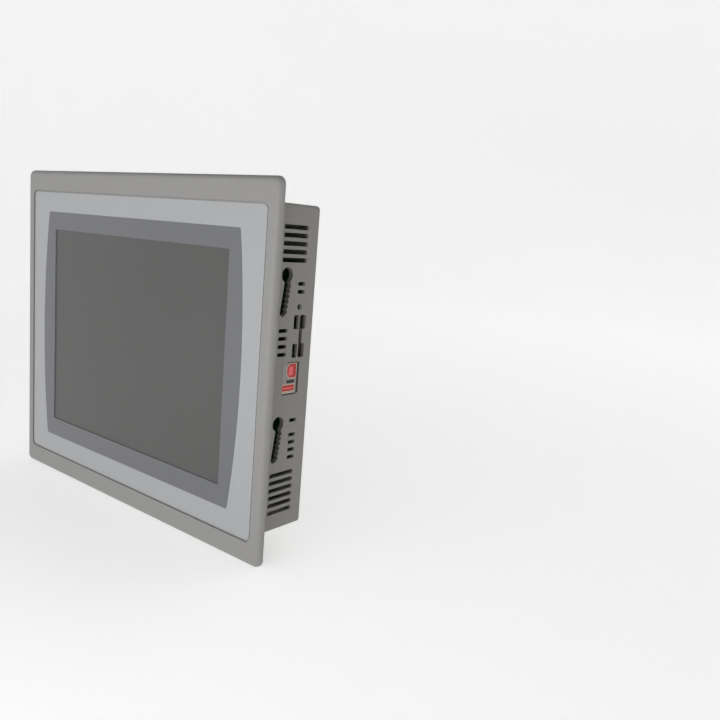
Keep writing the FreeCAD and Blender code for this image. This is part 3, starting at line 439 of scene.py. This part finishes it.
# White acetal plunger: waxy, with a soft shine.
acetal = grainy("white_acetal", "#d9d8d2", "#e6e5e0", grain_mm=0.8, depth_mm=0.01,
                gloss=(0.3, 0.4), Subsurface_Weight=0.1)
dress(acetal, "reset_button")


# ---- Ports --------------------------------------------------------------------------------------
# The sockets look down into the bay through a zinc-plated plate: two network jacks, two flat host
# ports and one square device port, with the protective earth stud at the left end.
dress(zinc_sheet, "port_plate")

# Nickel-plated steel shells of sockets: bright, smooth and a little warm.
nickel_shell = metal("nickel_plated_socket_shell", "#a5a49f", "#bdbcb7", line_mm=1.0,
                     stretch=(1.0, 1.0, 0.1), gloss=(0.2, 0.34))
dress(nickel_shell, "ethernet_jack_1", "ethernet_jack_2", "usb_host_ports", "usb_device_port")

# The tongues inside the sockets are of the same black plastic as the battery holder.
dress(black_lcp, "usb_host_inserts", "usb_device_insert")

# Gold flash over nickel on sprung contacts: warm and bright.
gold_flash = metal("gold_flashed_contact", "#b98f3c", "#d3ab58", line_mm=0.4,
                   stretch=(1.0, 1.0, 0.1), gloss=(0.18, 0.3))
dress(gold_flash, "jack_contacts")


# ---- Earth stud ---------------------------------------------------------------------------------
# An M4 stud with its nut and washer, zinc-plated steel. The stud is turned as one profile with a
# flange at its top; the thread's lead is too fine to see, so its turns are drawn as rings.
stud_low, stud_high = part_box("earth_stud")
STUD_R, ROOT_R, THREAD_PITCH, STUD_TIP = 2.0 * MM, 1.62 * MM, 0.7 * MM, 0.4 * MM
FLANGE_T, RELIEF_R, RELIEF_H, NUT_GAP = 1.0 * MM, 1.6 * MM, 0.6 * MM, 0.3 * MM
STUD_SIDES, TOUCHING = 40, 1e-6
flange_r = (stud_high.x - stud_low.x) / 2
relief_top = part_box("earth_nut")[0].z - NUT_GAP
outline = [(0.0, stud_low.z), (ROOT_R, stud_low.z)]
crest_z = stud_low.z + STUD_TIP
while crest_z < relief_top - RELIEF_H - THREAD_PITCH:
    outline += [(STUD_R, crest_z), (ROOT_R, crest_z + THREAD_PITCH / 2)]
    crest_z += THREAD_PITCH
outline += [(STUD_R, crest_z), (RELIEF_R, relief_top - RELIEF_H), (RELIEF_R, relief_top),
            (STUD_R, relief_top), (STUD_R, stud_high.z - FLANGE_T),
            (flange_r, stud_high.z - FLANGE_T), (flange_r, stud_high.z), (0.0, stud_high.z)]
stud_x, stud_y = (stud_low.x + stud_high.x) / 2, (stud_low.y + stud_high.y) / 2


def turned(outline, middle, steps):
    """Spins an outline of (radius, height) points round an upright axis into a closed piece."""
    bm = bmesh.new()
    points = [bm.verts.new((middle[0] + r, middle[1], z)) for r, z in outline]
    lines = [bm.edges.new(pair) for pair in zip(points, points[1:])]
    bmesh.ops.spin(bm, geom=points + lines, cent=(*middle, 0.0), axis=(0, 0, 1), angle=2 * pi,
                   steps=steps, use_merge=True)
    bmesh.ops.remove_doubles(bm, verts=bm.verts, dist=TOUCHING)
    return bm


threaded_stud = new_piece("threaded_earth_stud", turned(outline, (stud_x, stud_y), STUD_SIDES),
                          zinc_screw, "terminal")
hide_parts("earth_stud")
dress(zinc_screw, "earth_nut", "earth_washer")


# ---- Power connector ----------------------------------------------------------------------------
# A three-pole pluggable terminal block in green polyamide: the header stays on the board, and the
# plug pulls off downwards with its clamp cages, contact strips and captive slotted screws.

# Green polyamide: slightly waxy, with a fine moulded grain.
green_pa = grainy("moulded_green_polyamide", "#2c7a45", "#378a51", grain_mm=0.9, depth_mm=0.03,
                  gloss=(0.36, 0.48), Subsurface_Weight=0.05)
dress(green_pa, "power_header", "power_plug")

# Tin-plated brass contacts: pale warm silver.
tin_brass = metal("tin_plated_brass", "#b1aca0", "#c9c5ba", line_mm=0.5, stretch=(1.0, 1.0, 0.1),
                  gloss=(0.26, 0.4))
dress(tin_brass, "header_pins", "terminal_contacts")
for pole in (1, 2, 3):
    dress(zinc_screw, f"terminal_screw_{pole}")
    dress(nickel_brass, f"terminal_cage_{pole}")


# ---- Housing ------------------------------------------------------------------------------------
# A five-sided moulding in the same grey plastic as the front, with vents, lever slots and the card
# slit through its walls; its grey is set a shade darker than the front's as painted shade. Four
# long screws pull it onto the front frame.

# Spark-eroded PC/ABS of the housing: matt warm grey, darker than the front frame's grey as painted
# shade. Its pebble is about 0.3 mm across, and it is drawn at 1.3 mm so that it shows.
housing_abs_painted_shade = grainy("moulded_abs_grey_with_painted_shade", "#797773", "#7f7d79", grain_mm=1.3,
                     depth_mm=0.06, gloss=(0.52, 0.64), IOR=1.53)
dress(housing_abs_painted_shade, "housing_shell")


# ---- Side label ---------------------------------------------------------------------------------
# A matt label of printed film beside the card slit. It shows a card above a slot, framed by a
# heavy line, and carries no words.

# Printed film in the housing's colour: matt and smooth.
label_film = grainy("matt_grey_label_film", "#7f7d7a", "#858380", grain_mm=1.0, depth_mm=0.01,
                    gloss=(0.42, 0.5))
dress(label_film, "side_label")
label_low, label_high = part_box("side_label")
label_w, label_h = (label_high.y - label_low.y) / MM, (label_high.z - label_low.z) / MM
INK_T = 0.04 * MM
# Patches in mm from the label's lower front corner: front, back, bottom and top.
# The lighter red patches inside the card and the slot are painted highlights.
CARD, CARD_HIGHLIGHT, CARD_CUT, RIM = (4.6, 13.0, 12.0, 21.4), (5.9, 10.0, 13.5, 19.6), 2.2, 0.45
SLOT, SLOT_HIGHLIGHT, SLOT_FOOT = (0.6, 11.8, 2.9, 7.1), (1.4, 10.6, 4.3, 5.4), (0.9, 12.2, 1.5, 2.0)
SLOT_RIM = (SLOT[0] - RIM, SLOT[1] + RIM, SLOT[2] - RIM, SLOT[3] + RIM)
BAR, POST_FRONT = (4.4, 11.8, 8.3, 10.4), label_w - 2.0
FRAME = ((POST_FRONT, label_w, 0.8, label_h), (4.6, POST_FRONT, label_h - 0.6, label_h),
         (0.9, POST_FRONT, 0.2, 1.2))


def on_label(bm, front, back, bottom, top, layers=0):
    """Adds a patch of ink to the side label; places are in mm from its lower front corner."""
    face = label_high.x + layers * INK_T
    return block(bm, (face, label_low.y + front * MM, label_low.z + bottom * MM),
                 (face + INK_T, label_low.y + back * MM, label_low.z + top * MM))


def card_shape(bm, inset, layers):
    """Adds the outline of a memory card, which has both its front corners cut off."""
    front, back, bottom, top = CARD
    ends = (bottom + inset, top - inset)
    verts = on_label(bm, front + inset, back - inset, *ends, layers)
    edge_y = label_low.y + (front + inset) * MM + TOUCHING
    corners = [e for e in {e for v in verts for e in v.link_edges}
               if all(v.co.y < edge_y for v in e.verts) and e.verts[0].co.x != e.verts[1].co.x]
    bmesh.ops.bevel(bm, geom=corners, offset=CARD_CUT * MM, offset_type="OFFSET", affect="EDGES",
                    segments=1, profile=0.5, material=-1)


pale_marks, red_marks, highlight_marks, black_marks = (bmesh.new() for _ in range(4))
card_shape(pale_marks, -RIM, 0)
on_label(pale_marks, *SLOT_RIM)
on_label(pale_marks, *SLOT_FOOT)
card_shape(red_marks, 0.0, 1)
on_label(red_marks, *SLOT, 1)
# Painted highlights: lighter red patches on the card and on the slot.
on_label(highlight_marks, *CARD_HIGHLIGHT, 2)
on_label(highlight_marks, *SLOT_HIGHLIGHT, 2)
on_label(black_marks, *BAR, 1)
for patch in FRAME:
    on_label(black_marks, *patch)

# Screen inks, flat, opaque and dry: an ivory, a strong red and a black, and a lighter red that is a
# painted highlight on the red card and slot.
ivory_ink = grainy("ivory_screen_ink", "#b9aa92", "#c4b59d", grain_mm=0.6, depth_mm=0.005,
                   gloss=(0.5, 0.6))
red_ink = grainy("red_screen_ink", "#a01a20", "#ab2228", grain_mm=0.6, depth_mm=0.005,
                 gloss=(0.45, 0.55))
highlight_red_ink = grainy("pink_red_painted_highlight_ink", "#cf5355", "#d86063", grain_mm=0.6, depth_mm=0.005,
                       gloss=(0.45, 0.55))
black_ink = grainy("black_screen_ink", "#111110", "#1a1a19", grain_mm=0.6, depth_mm=0.005,
                   gloss=(0.5, 0.6))
for tone, marks, ink in (("pale", pale_marks, ivory_ink), ("red", red_marks, red_ink),
                         ("painted_highlight", highlight_marks, highlight_red_ink),
                         ("black", black_marks, black_ink)):
    new_piece(f"side_label_{tone}_print", marks, ink, "terminal")


# ---- Rear cover and battery door ----------------------------------------------------------------
# A raised moulding over the electronics, screwed down, with vents in its back, top and sides. The
# battery door is flush with it and swings on two moulded pins. A rating label with blank cells lies
# in a shallow recess.
# The cover and door take the housing's grey, which is darker than the front's as painted shade.
dress(housing_abs_painted_shade, "rear_cover", "battery_door")

# Silver polyester label stock: a fine brushed satin.
silver_label = grainy("brushed_silver_label_stock", "#b4b7b9", "#c2c5c7", grain_mm=0.8,
                      depth_mm=0.01, gloss=(0.34, 0.44), stretch=(0.05, 1.0, 1.0), Metallic=0.4)
dress(silver_label, "rating_label")
plate_low, plate_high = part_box("rating_label")
RULE_W, MARGIN, ROWS, COLUMN_ENDS = 0.5 * MM, 3.0 * MM, 5, (0.0, 0.34, 1.0)
rules = bmesh.new()


def rule(x, z, width, height):
    """Adds a printed rule to the rating label, from its lower corner with the smallest X."""
    block(rules, (x, plate_high.y, z), (x + width, plate_high.y + INK_T, z + height))


grid_w = plate_high.x - plate_low.x - 2 * MARGIN
grid_h = plate_high.z - plate_low.z - 2 * MARGIN
for i in range(ROWS + 1):
    rule(plate_low.x + MARGIN, plate_low.z + MARGIN + i * (grid_h - RULE_W) / ROWS, grid_w, RULE_W)
for share in COLUMN_ENDS:
    rule(plate_low.x + MARGIN + share * (grid_w - RULE_W), plate_low.z + MARGIN, RULE_W, grid_h)
rule(plate_low.x + MARGIN, plate_high.z - MARGIN - grid_h / ROWS, grid_w, grid_h / ROWS)
new_piece("rating_label_print", rules, black_ink, "terminal")


# ---- Studio -------------------------------------------------------------------------------------
# A pale paper sweep that curves up all round, lit softly: a softbox to the right of the front, a
# wide one close before it, a large one high behind, and an even white sky.
FLOOR_REACH, SWEEP_REACH, SWEEP_HEIGHT, SWEEP_STEPS, SWEEP_SIDES = 1.8, 3.6, 2.4, 24, 64
floor_z = cad_box[0].z
turns = [pi / 2 * i / SWEEP_STEPS for i in range(SWEEP_STEPS + 1)]
sweep = [(0.0, floor_z)] + [(FLOOR_REACH + (SWEEP_REACH - FLOOR_REACH) * sin(turn),
                             floor_z + SWEEP_HEIGHT * (1 - cos(turn))) for turn in turns]
studio = turned(sweep, (0.0, 0.0), SWEEP_SIDES)
for face in studio.faces:
    face.smooth = True
floor = bpy.data.objects.new("studio_floor", bpy.data.meshes.new("studio_floor"))
studio.to_mesh(floor.data)
studio.free()
bpy.context.scene.collection.objects.link(floor)

# Backdrop paper, matt white and lit through a little, as on a light table.
paper, _ = finish("matt_white_backdrop_paper", Base_Color=linear("#f2f2f1"), Roughness=0.85,
                  Emission_Color=linear("#ffffff"), Emission_Strength=0.44)
floor.data.materials.append(paper)

sky = bpy.data.worlds.new("even_white_sky")
sky.use_nodes = True
sky.node_tree.nodes["Background"].inputs["Color"].default_value = linear("#fbfcfd")
sky.node_tree.nodes["Background"].inputs["Strength"].default_value = 0.16
bpy.context.scene.world = sky
bpy.context.scene.view_settings.view_transform = "Standard"


def softbox(name, place, size, power):
    """Rectangular area light that faces the middle of the object."""
    light = bpy.data.lights.new(name, "AREA")
    light.shape, light.energy = "RECTANGLE", power
    light.size, light.size_y = size
    lamp = bpy.data.objects.new(name, light)
    lamp.location = place
    lamp.visible_camera = False
    lamp.rotation_euler = Vector(place).to_track_quat("Z", "Y").to_euler()
    bpy.context.scene.collection.objects.link(lamp)


softbox("right_softbox", place=(0.6, -0.85, -0.02), size=(0.7, 0.5), power=0.78)
softbox("low_softbox", place=(0.1, -0.6, 0.0), size=(0.9, 0.2), power=1.9)
softbox("rear_softbox", place=(0.3, 1.4, 1.6), size=(2.0, 2.0), power=5.5)


# ---- Camera -------------------------------------------------------------------------------------
# Near the object's right front corner, a little above its middle, and slightly rolled.
CAMERA_PLACE = (0.4668, -0.3234, 0.0949)
AZIMUTH, PITCH, ROLL = 37.86, -9.69, 4.67
LENS_MM, SENSOR_MM, NEAR_CLIP = 36.616, 36.0, 0.01
camera = bpy.data.objects.new("camera", bpy.data.cameras.new("camera"))
camera.data.lens, camera.data.sensor_width, camera.data.clip_start = LENS_MM, SENSOR_MM, NEAR_CLIP
aim = Euler((radians(90 + PITCH), 0.0, radians(AZIMUTH))).to_matrix()
roll = Matrix.Rotation(radians(ROLL), 3, "Z")
camera.matrix_world = Matrix.Translation(CAMERA_PLACE) @ (aim @ roll).to_4x4()
bpy.context.scene.collection.objects.link(camera)
bpy.context.scene.camera = camera
